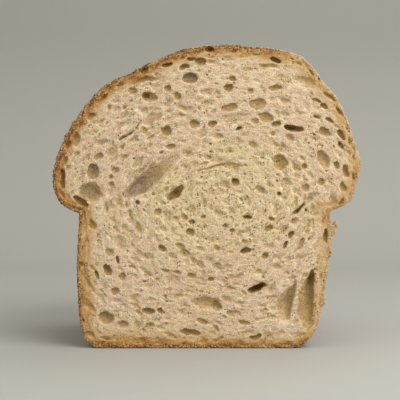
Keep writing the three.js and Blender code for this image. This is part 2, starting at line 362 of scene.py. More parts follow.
airHoles = {
    # The scattered holes, in kinds: how many, mm across from and to, how quickly larger ones
    # get rarer, half depth as a share of the size from and to, how far behind the cut they lie,
    # the share of the lean below that they have, and whether their edges are soft.
    "kinds": {
        "dents": {"count": 500, "size": (2, 5), "power": 2.2, "deep": (0.25, 0.42),
                  "behind": (-0.3, 0.1), "lean": 0, "soft": True},
        "cells": {"count": 1600, "size": (1.2, 3.6), "power": 2.5, "deep": (0.18, 0.4),
                  "behind": (-0.3, 0.2), "lean": 0.1, "soft": False},
        "pores": {"count": 380, "size": (0.8, 1.5), "power": 3, "deep": (0.6, 1),
                  "behind": (0, 0.4), "lean": 0.4, "soft": False},
    },
    "drawnOut": (0.2, 1.9),  # how much longer than wide they are, from and to
    "turnSpread": 0.22,  # how unevenly they follow the dough's grain, radians
    "fromCrust": 0.7,  # mm of bread left between them and the outside
    "besideCrust": 9,  # mm in from the outside over which they turn to follow the crust
    "leanSpread": 0.5,
    "seed": 21,
    "warp": 0.55,  # how far the holes' walls wander, mm
    "warpSizes": (3, 1.4),  # and in lumps of what size
    "softWarp": 1.5,  # times as far for soft hollows
    "crispEdge": 0.3,  # mm over which a hole's edge is rounded
    "softEdge": 0.8,  # the same for soft hollows
    "deeper": 0.9,  # times the depth that each hole below gives
    "softUnder": 0.34,  # a hole is soft if its depth is less than this share of its smaller width
    "softLining": 0.45,  # share of the darker lining, the holes' skin and painted shade, that a soft hole has
    "lean": (-0.15, 0.32),  # how far a hole leads left and up for each mm of its depth
    # The holes that stand out: x, z, width, height, tilt, depth. The tilt is in degrees,
    # positive where the hole rises to the right.
    "landmarks": [
        # crown, left
        (-27.9, 121.7, 7.8, 5.3, -12, 2.6), (-29.3, 122.4, 4, 3.4, 0, 5),
        (-8.4, 131.2, 8.2, 5.3, 10, 3.2), (-11.2, 136.7, 4.8, 2.9, 10, 3),
        (-19.5, 137.7, 5.3, 2.4, 15, 2.2), (-18.9, 126.1, 3.9, 3.4, -20, 2),
        (-14.5, 122.1, 3.9, 4.8, 20, 1.8), (-35.9, 124.9, 4.8, 3.9, 0, 1.6),
        (-44.2, 116.3, 3.9, 2.9, 0, 0.9), (-40.3, 116.5, 2.4, 2.4, 0, 1.3),
        (-47.7, 116.6, 1.8, 3.2, -20, 1.3), (-19.7, 105.1, 5.3, 4.4, -20, 3),
        (-17.6, 97.9, 5.3, 2.9, 10, 1.9), (-9.7, 93.8, 6.8, 3.9, 5, 1.3),
        (-52.9, 92.9, 4.8, 2.9, 25, 1.9), (-44.7, 86.6, 3.9, 3.9, 0, 1.5),
        (-46.8, 83.2, 2.9, 2.9, 0, 1.4), (-46.8, 79.3, 2.9, 2.9, 0, 1.7),
        (-55.5, 85.8, 6.1, 8.2, -12, 2.8), (-56.7, 75.4, 11.6, 9.7, -15, 3),
        (-61.4, 71.3, 8.2, 2.9, -33, 4.2), (-63.6, 101.3, 3.9, 7.3, -10, 1.6),
        (-69.9, 82.3, 2.4, 9.7, 0, 3), (-33.5, 71.1, 2.9, 2.4, 0, 2.4),
        (-67.4, 98.4, 2.2, 4.2, -16, 1.4), (-69, 91.2, 2, 4.6, -8, 1.2),
        (-67.6, 87.6, 2.6, 2.8, 0, 1), (-56, 112.6, 5, 3.2, 40, 1.4), (-61.4, 108.2, 2, 4, -30, 1),
        (-50.4, 121.2, 5.6, 1.6, 40, 1.2), (-42.4, 127.6, 4.4, 1.5, 32, 1),
        # crown, top and right
        (1.4, 145.4, 4.8, 2.9, 0, 3), (-7.9, 140.4, 4.8, 1.9, 12, 2.2), (-3.4, 139, 5.3, 3.9, 0, 3.4),
        (33.6, 139.9, 5.8, 2.9, -20, 3.6), (29.4, 137, 10.7, 2.4, -8, 1.3),
        (46.8, 129.7, 10.7, 5.3, -20, 1.75), (33, 126.3, 6.8, 2.9, 0, 1.8),
        (12.1, 130.7, 3.9, 2.4, 0, 1.9), (10.5, 126.3, 4.8, 3.4, 15, 2.8),
        (20.9, 124.9, 3.4, 2.4, 10, 1.6), (11, 116.8, 8.7, 3.4, 20, 2), (24.5, 118.3, 8.7, 5.8, 5, 2),
        (12.6, 110.8, 13.6, 6.3, 12, 1.3), (28.9, 111.8, 7.8, 4.4, -5, 2),
        (33.6, 108.9, 4.4, 2.9, 0, 2.4), (42, 106.8, 9.9, 3.1, -8, 6),
        (-6.1, 108.9, 5.8, 3.9, 8, 2.4), (2.6, 108.8, 4.8, 2.9, 8, 2.4),
        (15.2, 106.5, 3.4, 1.4, 20, 3), (53.1, 120.2, 5.3, 1.9, -12, 1.8),
        (56.7, 117.6, 3.9, 2.9, -25, 2.6), (53.1, 112.3, 3.9, 1.9, -15, 2),
        (59.4, 110.8, 4.8, 1.7, -30, 2.2), (57.5, 105, 6.3, 3.9, -30, 2.6),
        (65.4, 103.4, 2.4, 5.8, 30, 2.8), (65, 98.2, 1.9, 4.4, 25, 2.2),
        (56.3, 91.9, 5.3, 9.7, 20, 2.2), (35.5, 90, 7.8, 6.8, -25, 2.8),
        (62.8, 89.1, 2.4, 4.4, 15, 2.2), (67.3, 86, 2.9, 6.3, 12, 2.6), (66, 78.1, 3.4, 5.3, 10, 1.9),
        (38, 80, 4.8, 4.8, 0, 1.3), (47.9, 77.8, 4.4, 3.9, 10, 1.7), (55.4, 80.3, 4.4, 3.9, 0, 1.4),
        (47.5, 88, 2.9, 2.9, 0, 2), (13.9, 80.5, 3.9, 4.4, 30, 3.2),
        (40.3, 102.1, 4.8, 3.9, -10, 1.4), (22.3, 98.7, 6.3, 3.4, -20, 1.2),
        (59.2, 122.2, 7, 1.9, -32, 1.4), (64.6, 114.6, 6.2, 2.2, -51, 1.6),
        (50.4, 133.4, 4.6, 1.4, -42, 1), (44.4, 138.2, 3.4, 1.2, -26, 0.9),
        (69.4, 100.6, 1.3, 4.4, 14, 1), (71.2, 92.4, 1.2, 3.6, 8, 1), (71, 83.4, 1.6, 4.2, -6, 1.2),
        (75.9, 84.8, 4.6, 4.6, 0, 3),
        (24, 142.6, 4.4, 1.4, 0, 1), (13.4, 143.9, 3.4, 1.3, 0, 1.2), (-15.4, 140.4, 3, 1.4, 20, 1),
        # walls, upper half
        (-23.9, 66.2, 3.9, 3.4, 0, 1.8), (-1.8, 63.6, 2.9, 1.9, 15, 1.8), (-7.3, 61, 2.9, 2.4, 0, 2),
        (-8, 56, 4.4, 3.9, -15, 2.8), (19.8, 63.7, 4.4, 1.9, -5, 4), (31, 62.7, 2.9, 2.4, 10, 2),
        (29.7, 57.8, 4.8, 2.9, 20, 2.4), (18.6, 47.3, 5.3, 2.9, 10, 4),
        (28.2, 44.6, 3.9, 2.9, 30, 2.4), (40.5, 55, 1.9, 4.4, -30, 2.8),
        (38.3, 50, 1.9, 4.4, -20, 2.8), (35, 75.3, 2.4, 2.4, 0, 2.8),
        (45.6, 50.2, 2.9, 6.8, -22, 1.5), (42.2, 61.8, 4.4, 2.9, 30, 1.5),
        (-48.4, 38.1, 3.9, 5.8, 32, 3.6), (-41.4, 34.4, 3.9, 4.4, 10, 1.8),
        (-47.6, 46.4, 4.4, 3.9, -20, 1.7), (-42.4, 51, 4.8, 7.3, 30, 1.3),
        (-53.8, 35.7, 1.9, 3.9, 20, 2.4), (-43.2, 42.9, 1.6, 3.9, 25, 2.8),
        (-21.6, 48.5, 4.8, 2.9, -30, 2.6), (-20.2, 37.4, 3.9, 1.9, -5, 1.1),
        (-14.8, 37, 4.4, 1.6, -12, 1.4), (-7.1, 35.3, 4.4, 2.9, -15, 1.7),
        (-16.5, 33.1, 6.3, 5.8, 0, 1.2), (1.9, 33.5, 3.4, 1.9, 0, 1.9),
        (12.5, 57.1, 2.9, 2.4, 0, 1.8), (8.8, 59.3, 2.9, 2.4, 0, 1.6),
        (-55.8, 59.9, 2.9, 6.3, 22, 1.5), (-33.5, 58.4, 3.4, 6.3, 15, 1.2),
        (57.6, 55, 1.5, 5.8, -8, 3),
        # walls, foot
        (-44.6, 27.5, 4.4, 3.9, -30, 2), (-0.5, 21.6, 14.5, 7.3, -6, 2.2),
        (4.4, 20.1, 5.3, 4.4, -30, 3.6), (-48.8, 14.4, 8.2, 6.3, -15, 3.4),
        (-40.9, 11.4, 5.3, 3.9, -10, 1.8), (-28.5, 17.9, 5.8, 3.4, -6, 3.2),
        (-8.2, 7.5, 9.7, 2.9, -8, 3), (-2.3, 12.9, 6.3, 3.4, -20, 1.4),
        (17.9, 12.4, 5.8, 2.4, 0, 1.6), (23.9, 5.3, 5.8, 2.4, 10, 3), (-27.6, 10.9, 3.9, 2.4, 0, 1.6),
        (-22.8, 18.2, 3.4, 2.4, -30, 2.4),
    ],
    # Splits and tunnels, as stations along their run: x, z, width, depth.
    "channels": [
        [(-36.5, 128.6, 1.2, 0.8), (-30, 131, 2.2, 2.2), (-23, 130.6, 1, 0.8)],
        [(-42.9, 101.6, 0.9, 1.8), (-40.9, 102.6, 1.2, 3), (-39.2, 103.1, 0.7, 2)],
        [(-38.6, 103.7, 0.9, 2), (-36.8, 104.6, 1, 2.6), (-35.6, 105.9, 0.7, 1.4)],
        [(-34.8, 107, 0.6, 1.6), (-33, 108.7, 0.7, 1.6)],
        [(41.6, 65, 0.8, 1.5), (43.6, 66.4, 1.7, 4.5), (46.4, 69.2, 1.2, 3), (48.2, 71.2, 0.7, 1)],
        [(-4.6, 86.1, 0.8, 0.7), (2.7, 88, 1.2, 1.2), (6.8, 89.3, 1.6, 1.3), (13.1, 89, 1.6, 1.2),
         (18.9, 88.7, 1, 0.7)],
        [(-18, 73.2, 3, 3.4), (-15.4, 75, 4.2, 5.4), (-12.6, 78, 2.4, 2.6)],
        [(20.2, 28.2, 1.8, 3), (21.6, 28.2, 3.2, 6), (23.4, 28.9, 3.2, 7.6), (25.6, 29.6, 3, 7.6),
         (26.9, 30.6, 2.6, 6), (28.6, 30.4, 1.4, 3)],
        [(51, 37.2, 1.8, 3), (50.6, 34, 2.8, 6.5), (50.2, 29, 2.2, 6), (49.8, 24.6, 1.2, 4.4)],
        # the slit behind the torn flake at the right notch
        [(57.5, 57.6, 0.8, 1.6), (58.2, 54.6, 1.3, 2.2), (58, 51.6, 0.9, 1.4)],
    ],
    # Folds and troughs with soft sides.
    "troughs": [
        [(-38.6, 74.6, 5, 1.8), (-32, 79.4, 9, 3.4), (-25.4, 84.6, 8, 2.6), (-15, 92.4, 4, 0.9)],
        [(-37.4, 75.8, 4, 2.8), (-33, 80, 5.4, 4.4), (-27.5, 84, 3.6, 2.6)],
        [(-36.6, 82.4, 6, 0.8), (-28, 88.4, 6, 0.8)],
        [(41, 29, 2, 1), (37.6, 24, 6, 2), (36, 20, 6.6, 2.2), (37, 14.6, 4.4, 1)],
        [(43.2, 31.8, 1.6, 1), (40.8, 27, 4, 3.2), (39, 22.4, 5, 4.2), (38.8, 15, 3, 2)],
        [(50, 34, 3, 2.6), (47.6, 26, 6.4, 3.4), (46.8, 17, 7, 3), (48.2, 11, 4, 1.6)],
        [(50.9, 36, 3, 3.6), (50, 30, 4.4, 6), (49.4, 23, 4.6, 4.6), (49, 17, 4.6, 3.4),
         (49.4, 11.4, 2.6, 1.6)],
        [(47.6, 71, 2.4, 1.4), (50.4, 73.4, 3.2, 1.8), (54, 74.8, 1.6, 0.8)],
    ],
}


def flowTurn(x, z, depth):
    # direction of the drawn-out holes: round the swirl, and along the crust close to it
    dx, dz = swirlPlace(x, z)
    along = np.stack([-dz, dx / swirl["stretch"]], axis=-1)
    along /= np.linalg.norm(along, axis=-1, keepdims=True) + 1e-6
    step = 1.0
    gx = outside(x + step, cutFace, z) - outside(x - step, cutFace, z)
    gz = outside(x, cutFace, z + step) - outside(x, cutFace, z - step)
    beside = np.stack([-gz, gx], axis=-1)
    beside /= np.linalg.norm(beside, axis=-1, keepdims=True) + 1e-6
    beside *= np.sign(np.sum(along * beside, axis=-1, keepdims=True) + 1e-9)
    pull = np.exp(-depth / airHoles["besideCrust"])[..., None]
    flow = along * (1 - pull) + beside * pull
    return np.arctan2(flow[..., 1], flow[..., 0])


def clearOfLandmarks(x, z, size):
    # where a hole of that size would stay apart from those that stand out
    clear = np.ones(len(x), dtype=bool)
    for cx, cz, width, height, *_ in airHoles["landmarks"]:
        clear &= np.hypot(x - cx, z - cz) > 0.5 * max(width, height) + 0.6 * size
    return clear


def scatteredHoles():
    # the scattered holes, crisp and soft: x, y, z, half width, half depth, half height, turn,
    # lean in x and in z
    draw = np.random.default_rng(airHoles["seed"])
    crisp, soft = [], []
    for kind in airHoles["kinds"].values():
        count = kind["count"]
        x = draw.uniform(low[0], high[0], count)
        z = draw.uniform(low[2], high[2], count)
        depth = -outside(x, cutFace, z)
        smallest, largest = kind["size"]
        rarer = 1 - kind["power"]
        size = smallest * (1 + draw.random(count) * ((largest / smallest) ** rarer - 1)) ** (1 / rarer)
        kept = (depth > airHoles["fromCrust"] + size / 2) & clearOfLandmarks(x, z, size)
        x, z, depth, size = x[kept], z[kept], depth[kept], size[kept]
        turn = flowTurn(x, z, depth) + draw.normal(0, airHoles["turnSpread"], len(x))
        away = np.clip(np.hypot(*swirlPlace(x, z)) / swirl["roundReach"], 0, 1)
        stretch = (1.1 + draw.uniform(*airHoles["drawnOut"], len(x)) * away) ** 0.5
        halfDepth = size * draw.uniform(*kind["deep"], len(x))
        y = cutFace + cutDepth + halfDepth * draw.uniform(*kind["behind"], len(x))
        leanX, leanZ = [
            kind["lean"] * (lean + draw.normal(0, airHoles["leanSpread"], len(x)))
            for lean in airHoles["lean"]
        ]
        (soft if kind["soft"] else crisp).append(np.stack(
            [x, y, z, size / 2 * stretch, halfDepth, size / 2 / stretch, turn, leanX, leanZ], axis=1))
    return np.concatenate(crisp), np.concatenate(soft)


def landmarkHoles():
    # the crisp and the soft ones; a deep hole has its middle behind the cut, and widens inside
    crisp, soft = [], []
    for x, z, width, height, tilt, depth in airHoles["landmarks"]:
        depth *= airHoles["deeper"]
        behind = 0.3 * max(0, depth - 0.45 * min(width, height))
        halfDepth = depth - behind
        opening = max(0.6, math.sqrt(max(0, 1 - (behind / halfDepth) ** 2)))
        shallow = depth < airHoles["softUnder"] * airHoles["deeper"] * min(width, height)
        (soft if shallow else crisp).append((
            x, cutFace + cutDepth + behind, z, width / 2 / opening, halfDepth, height / 2 / opening,
            math.radians(tilt), *airHoles["lean"]))
    return np.array(crisp), np.array(soft)


def blockAround(axes, x, y, z, spreadX, spreadY, spreadZ):
    # the part of the grid near a place, as slices and as offsets from it
    block = tuple(
        slice(*np.searchsorted(axis, (middle - spread, middle + spread)))
        for axis, middle, spread in zip(axes, (x, y, z), (spreadX, spreadY, spreadZ))
    )
    dx, dy, dz = np.ix_(*[axis[part] - at for axis, part, at in zip(axes, block, (x, y, z))])
    return block, dx, dy, dz


def carveHoles(axes, holes, warpX, warpZ):
    # signed distance to the nearest hole, negative in it, on the front part of the grid
    hollow = np.full([len(axis) for axis in axes], 9, dtype=np.float32)
    for x, y, z, a, b, c, turn, leanX, leanZ in holes:
        cosine, sine = math.cos(turn), math.sin(turn)
        spreadX = math.hypot(a * cosine, c * sine) + abs(leanX) * b + 1.5
        spreadZ = math.hypot(a * sine, c * cosine) + abs(leanZ) * b + 1.5
        block, dx, dy, dz = blockAround(axes, x, y, z, spreadX, b + 1.2, spreadZ)
        if hollow[block].size == 0:
            continue
        dx, dz = dx + warpX[block] - leanX * dy, dz + warpZ[block] - leanZ * dy
        hollow[block] = np.minimum(hollow[block], eggDistance(dx, dy, dz, a, b, c, turn))
    return hollow


def carveChannels(axes, channels, hollow, warpX, warpZ):
    # long hollows: a round-ended run between each two stations, as wide and deep as they say
    for stations in channels:
        for (ax, az, aWidth, aDepth), (bx, bz, bWidth, bDepth) in zip(stations, stations[1:]):
            ux, uz = bx - ax, bz - az
            wide, deep = max(aWidth, bWidth), max(aDepth, bDepth)
            block, dx, dy, dz = blockAround(
                axes, (ax + bx) / 2, cutFace + cutDepth, (az + bz) / 2,
                abs(ux) / 2 + wide + 1, deep + 1.2, abs(uz) / 2 + wide + 1)
            dx, dz = dx + warpX[block] * 0.7 + ux / 2, dz + warpZ[block] * 0.7 + uz / 2
            along = np.clip((dx * ux + dz * uz) / (ux * ux + uz * uz), 0, 1)
            across = np.hypot(dx - along * ux, dz - along * uz)
            halfWidth = (aWidth + (bWidth - aWidth) * along) / 2
            depth = aDepth + (bDepth - aDepth) * along
            near = np.sqrt((across / halfWidth) ** 2 + (dy / depth) ** 2)
            steep = np.sqrt((across / halfWidth**2) ** 2 + (dy / depth**2) ** 2) + 1e-6
            hollow[block] = np.minimum(hollow[block], near * (near - 1) / steep)
    return hollow


meshing = {
    "step": 0.5,  # grid step across the loaf, and along it near the cut
    "fineDepth": 12,  # how far behind the cut the fine steps go
    "backStep": 1.3,
    "rimWidth": 1.5,  # crust that shows as a ring on the cut
    "backShell": 4,  # the crust piece's thickness further back, where it doesn't show
    "shellGrows": (1, 14),  # mm behind the cut over which it grows to that
    "cutReach": 2,  # mm behind the cut that the cut crumb's own relief reaches
    "overlap": 0.4,  # how far the crumb sits into the crust
    "reliefReach": 2.5,  # mm on either side of the smooth outside where the crust's relief is made
    "scrap": 60,  # points below which a loose part is dropped
    "crumbFaces": 195000,
    "crustFaces": 190000,
}


def gridAxes():
    # the grid's places along each axis, and how many of those along y are fine
    step = meshing["step"]
    xs = np.arange(low[0] - 1.5, high[0] + 1.6, step)
    zs = np.arange(-1.25, high[2] + 1.6, step)
    fine = np.arange(cutFace - 1, cutFace + meshing["fineDepth"], step)
    back = np.arange(fine[-1] + meshing["backStep"], high[1] + 3, meshing["backStep"])
    return xs, np.concatenate([fine, back]), zs, len(fine)


xs, ys, zs, fineCount = gridAxes()
front = np.s_[:, :fineCount, :]  # the part of the grid near the cut, where the holes are
frontAxes = (xs, ys[:fineCount], zs)


def placesOf(index):
    # grid points' places in mm, from their indices
    return np.stack([xs[index[0]], ys[index[1]], zs[index[2]]], axis=1)


def measureOutside():
    # signed distance to the smooth outside at every grid point
    field = np.empty((len(xs), len(ys), len(zs)), dtype=np.float32)
    x, z = np.meshgrid(xs, zs, indexing="ij")
    for n, y in enumerate(ys):
        field[:, n, :] = outside(x, y, z)
    report(f"outside measured on {field.size / 1e6:.1f} million points")
    return field


def carveAirHoles(inBread):
    # signed distances to the crisp holes and to the soft ones
    places = placesOf(inBread)
    warps = []
    for seed in (14, 16):
        warp = np.zeros([len(axis) for axis in frontAxes], dtype=np.float32)
        warp[inBread] = airHoles["warp"] * twoLumps(places, airHoles["warpSizes"], seed)
        warps.append(warp)
    softWarps = [warp * airHoles["softWarp"] for warp in warps]
    crispHoles, softHoles = [np.concatenate(pair) for pair in zip(landmarkHoles(), scatteredHoles())]
    crisp = carveHoles(frontAxes, crispHoles, *warps)
    crisp = carveChannels(frontAxes, airHoles["channels"], crisp, *warps)
    soft = carveHoles(frontAxes, softHoles, *softWarps)
    soft = carveChannels(frontAxes, airHoles["troughs"], soft, *warps)
    report(f"{len(crispHoles) + len(softHoles)} air holes carved")
    return crisp, soft


def measureCut(inBread, crisp, soft):
    # signed distance to the cut crumb and the holes in it, positive where there is no bread
    cut = np.zeros_like(crisp)
    cut[:] = (cutFace + cutDepth - frontAxes[1])[None, :, None]
    near = inBread[1] <= np.searchsorted(ys, cutFace + meshing["cutReach"])
    index = tuple(part[near] for part in inBread)
    cut[index] += cutSink(placesOf(index)) - cutDepth
    cut = blendedMax(cut, -soft, airHoles["softEdge"])
    return blendedMax(cut, -crisp, airHoles["crispEdge"])


def crustThickness():
    # at each y of the grid
    start, end = meshing["shellGrows"]
    thicker = meshing["backShell"] - meshing["rimWidth"]
    shell = meshing["rimWidth"] + thicker * smoothstep(ys, cutFace + start, cutFace + end)
    return shell[None, :, None].astype(np.float32)


def netSurface(field):
    # points and quads of a closed mesh round the negative part of a field (naive surface nets)
    inside = field < 0
    sx, sy, sz = [n - 1 for n in field.shape]
    count = np.zeros((sx, sy, sz), dtype=np.uint8)
    corners = [(a, b, c) for a in (0, 1) for b in (0, 1) for c in (0, 1)]
    for a, b, c in corners:
        count += inside[a:a + sx, b:b + sy, c:c + sz]
    active = (count > 0) & (count < 8)
    i, j, k = np.nonzero(active)
    total = np.zeros((len(i), 3))
    hits = np.zeros(len(i))
    for start in corners:
        for axis in range(3):
            if start[axis]:
                continue
            stop = list(start)
            stop[axis] = 1
            first = (i + start[0], j + start[1], k + start[2])
            last = (i + stop[0], j + stop[1], k + stop[2])
            f0, f1 = field[first], field[last]
            crossed = (f0 < 0) != (f1 < 0)
            t = np.where(crossed, f0 / np.where(f0 == f1, 1, f0 - f1), 0)
            for n, coords in enumerate((xs, ys, zs)):
                total[:, n] += crossed * (coords[first[n]] * (1 - t) + coords[last[n]] * t)
            hits += crossed
    points = total / hits[:, None]
    number = np.full(active.shape, -1, dtype=np.int32)
    number[active] = np.arange(len(i))
    quads = []
    for axis in range(3):
        span = [slice(1, -1)] * 3
        span[axis] = slice(0, -1)
        after = list(span)
        after[axis] = slice(1, None)
        a, b = inside[tuple(span)], inside[tuple(after)]
        e = np.nonzero(a != b)
        here = [e[n] + (0 if n == axis else 1) for n in range(3)]
        u, v = [n for n in range(3) if n != axis]
        ring = []
        for du, dv in ((1, 1), (0, 1), (0, 0), (1, 0)):
            cell = list(here)
            cell[u] = here[u] - du
            cell[v] = here[v] - dv
            ring.append(number[tuple(cell)])
        quad = np.stack(ring, axis=1)
        flip = a[e] if axis == 1 else ~a[e]
        quad[flip] = quad[flip][:, ::-1]
        quads.append(quad)
    return points, np.concatenate(quads)


def meshFrom(name, points, faces):
    # a mesh in metres from points in millimetres and faces of equal size
    mesh = bpy.data.meshes.new(name)
    sides = faces.shape[1]
    mesh.vertices.add(len(points))
    mesh.vertices.foreach_set("co", (points * mm).astype(np.float32).ravel())
    mesh.loops.add(faces.size)
    mesh.loops.foreach_set("vertex_index", faces.ravel().astype(np.int32))
    mesh.polygons.add(len(faces))
    mesh.polygons.foreach_set("loop_start", np.arange(len(faces), dtype=np.int32) * sides)
    mesh.update(calc_edges=True)
    piece = bpy.data.objects.new(name, mesh)
    bpy.context.scene.collection.objects.link(piece)
    return piece


def pointsOf(mesh):
    # a mesh's points in millimetres
    points = np.empty(len(mesh.vertices) * 3, dtype=np.float32)
    mesh.vertices.foreach_get("co", points)
    return points.reshape(-1, 3) / mm


def plainMesh(piece):
    # what the piece's modifiers make of it, as a mesh of its own
    evaluated = piece.evaluated_get(bpy.context.evaluated_depsgraph_get())
    made = bpy.data.meshes.new_from_object(evaluated)
    piece.modifiers.clear()
    piece.data = made
    made.name = piece.name
    return piece


def thinned(piece, faces):
    # fewer triangles, taken first where the surface is flattest
    modifier = piece.modifiers.new("thin", "DECIMATE")
    modifier.ratio = faces / (2 * len(piece.data.polygons))
    modifier.use_collapse_triangulate = True
    return plainMesh(piece)


def keptInBox(piece):
    # the piece with no point outside the loaf's box
    points = np.clip(pointsOf(piece.data), low, high) * mm
    piece.data.vertices.foreach_set("co", points.astype(np.float32).ravel())
    return piece


def withoutScraps(piece):
    # the piece without its closed-off hollows and floating scraps
    mesh = piece.data
    edges = np.empty(len(mesh.edges) * 2, dtype=np.int32)
    mesh.edges.foreach_get("vertices", edges)
    a, b = edges.reshape(-1, 2).T
    label = np.arange(len(mesh.vertices))
    while True:
        least = np.minimum(label[a], label[b])
        new = label.copy()
        np.minimum.at(new, a, least)
        np.minimum.at(new, b, least)
        new = new[new]
        if np.array_equal(new, label):
            break
        label = new
    sizes = np.bincount(label, minlength=len(label))
    keep = sizes[label] >= meshing["scrap"]
    loops = np.empty(len(mesh.loops), dtype=np.int32)
    mesh.loops.foreach_get("vertex_index", loops)
    faces = loops.reshape(-1, 3)
    faces = faces[keep[faces[:, 0]]]
    number = np.cumsum(keep) - 1
    points = pointsOf(mesh)[keep]
    name = piece.name
    bpy.data.objects.remove(piece)
    bpy.data.meshes.remove(mesh)
    return meshFrom(name, points, number[faces])


def pieceFrom(name, field, faces):
    # the field's surface as a smooth piece of about so many triangles
    piece = withoutScraps(thinned(meshFrom(name, *netSurface(field)), faces))
    keptInBox(piece).data.shade_smooth()
    report(f"{name}: {len(piece.data.polygons)} triangles")
    return piece


def makeCrumb(skinField, shell, cut):
    # the bread inside the crust, with the cut and the holes that it opened
    field = skinField + shell - meshing["overlap"]
    field[front] = np.maximum(field[front], cut)
    return pieceFrom("crumb", field, meshing["crumbFaces"])


def makeCrust(skinField, shell, cut):
    # the browned shell, wrinkled and pitted outside and torn along the cut
    field = skinField.copy()
    index = np.nonzero(np.abs(skinField) < meshing["reliefReach"])
    field[index] += crustSink(placesOf(index))
    field = np.maximum(field, -(skinField + shell))
    field[front] = np.maximum(field[front], cut)
    return pieceFrom("crust", field, meshing["crustFaces"])


browning = {
    # by part of the crust: how brown it baked, from 0 to 1, how far in from it the bread is toasted,
    # mm, and how much darker its outermost skin is drawn, paler where negative
    "zones": {
        "crownLeft": (0.53, 4.8, 0.2),
        "crownRight": (0.2, 5.2, -0.3),
        # the left wall is drawn browner than the right, with a darker outer line: partly the crust's
        # colour, partly painted shade on the left side
        "wallLeft": (0.28, 7, 0.6),
        "wallRight": (0.13, 5, -0.14),
        "base": (0.6, 2.3, 0.2),
        "crownOutside": (0.62, 2, 0),  # away from the cut
        "foldOutside": (0.34, 2, 0),
        "wallOutside": (0.44, 2, 0),
    },
    # where each part fades in, from and to: in x, in height, or in mm behind the cut
    "wallRightFrom": (-40, 40),
    "crownRightFrom": (20, 50),
    "crownFrom": (60, 70),
    "crownTopFrom": (68, 104),
    "baseFrom": (6, 1.2),
    "outsideFrom": (1, 22),
    "wallOutsideFrom": (0.6, 9),
    "toastedFade": (0.5, 1.6),  # shares of the toasted depth over which the brown fades out
    "skinDepth": 1.1,
    "patches": 0.16,
    "patchSizes": (30, 12),
    "tail": 0.2,  # faint toasting further in
    "tailReach": 6,
    "tornReach": 3.5,  # mm behind the cut over which the crust's edge is torn and uneven
}
greyHollows = [  # where the skin in the holes is greyer: x, z, reach, strength
    (-34.5, 78, 10, 0.9), (-27, 84, 8, 0.5), (-57.5, 76.5, 6, 0.5), (-8.4, 131.2, 5, 0.7),
    (-55.5, 85.8, 5, 0.5), (42, 20, 6, 0.3),
]


def crustBake(points):
    # at each point, what the zones above say of the crust nearest to it
    x, y, z = points.T
    atBack = smoothstep(y - cutFace, *browning["outsideFrom"])
    onCrown = smoothstep(z, *browning["crownFrom"])
    shares = {
        "wallLeft": 1,
        "wallRight": smoothstep(x, *browning["wallRightFrom"]),
        "wallOutside": smoothstep(y - cutFace, *browning["wallOutsideFrom"]),
        "crownLeft": onCrown,
        "crownRight": onCrown * smoothstep(x, *browning["crownRightFrom"]),
        "foldOutside": onCrown * atBack,
        "crownOutside": onCrown * atBack * smoothstep(z, *browning["crownTopFrom"]),
        "base": smoothstep(z, *browning["baseFrom"]),
    }
    found = np.zeros((3, len(points)))
    for name, share in shares.items():
        found += (np.array(browning["zones"][name])[:, None] - found) * share
    bake, toasted, edge = found
    patches = twoLumps(points, browning["patchSizes"], 12, 0.6)
    return bake * (1 + browning["patches"] * patches), toasted, edge


def greyAt(x, z):
    grey = np.zeros(len(x))
    for cx, cz, reach, strength in greyHollows:
        near = 1 - smoothstep(np.hypot(x - cx, z - cz), 0.5 * reach, reach)
        grey = np.maximum(grey, strength * near)
    return grey


def rimPlace(points, skin):
    # a place along the rim: how far in, how far round and how far back, in mm
    x, y, z = points.T
    rimMiddle, millimetresPerRadian = 70, 22
    return np.stack([skin, millimetresPerRadian * np.arctan2(z - rimMiddle, x), 0.5 * y], axis=1)


def liningAt(points, crisp, soft):
    # how much of the darker lining, skin colour and painted shade in one, a hole has: all of it in a
    # crisp one, less in a soft one
    i, j, k = [
        np.clip(np.round((points[:, n] - axis[0]) / meshing["step"]).astype(int), 0, len(axis) - 1)
        for n, axis in enumerate(frontAxes)
    ]
    return np.where(crisp[i, j, k] < soft[i, j, k], 1, airHoles["softLining"])


def addBreadValues(piece, crisp, soft):
    # what the finishes read at each point: how brown it is, how deep in a hole, how grey, how
    # rosy, how near the torn edge, where crumbs lie loose, its place in the dough's grain and
    # its place along the rim
    points = pointsOf(piece.data).astype(float)
    x, y, z = points.T
    skin = np.maximum(0, -outside(x, y, z))
    bake, toasted, edge = crustBake(points)
    tail = browning["tail"] * np.exp(-skin / browning["tailReach"])
    brown = bake * (1 - smoothstep(skin / toasted, *browning["toastedFade"]))
    liningAndShade = liningAt(points, crisp, soft)
    behindCut = y - cutFace
    values = {
        "brown": brown + edge * np.exp(-((skin / browning["skinDepth"]) ** 2)) + tail,
        "rosy": smoothstep(np.hypot(*swirlPlace(x, z)), *swirl["rosyFrom"]),
        "hollow": np.clip(behindCut - cutDepth, 0, meshing["fineDepth"]) * liningAndShade,
        "grey": greyAt(x, z),
        "torn": np.exp(-np.maximum(0, behindCut - 1) / browning["tornReach"]),
        "loose": np.exp(-np.maximum(0, behindCut - 0.5) / looseCrumbs["reach"]),
    }
    for name, value in values.items():
        layer = piece.data.attributes.new(name, "FLOAT", "POINT")
        layer.data.foreach_set("value", value.astype(np.float32))
    places = {"grain": grainPlace(points, along=0.55, across=0.83), "strands": rimPlace(points, skin)}
    for name, value in places.items():
        layer = piece.data.attributes.new(name, "FLOAT_VECTOR", "POINT")
        layer.data.foreach_set("vector", value.astype(np.float32).ravel())


def linear(hexColour):
    # an sRGB hex colour as the linear one that Blender's sockets hold
    channels = [int(hexColour[n:n + 2], 16) / 255 for n in (1, 3, 5)]
    return [c / 12.92 if c <= 0.04045 else ((c + 0.055) / 1.055) ** 2.4 for c in channels] + [1]


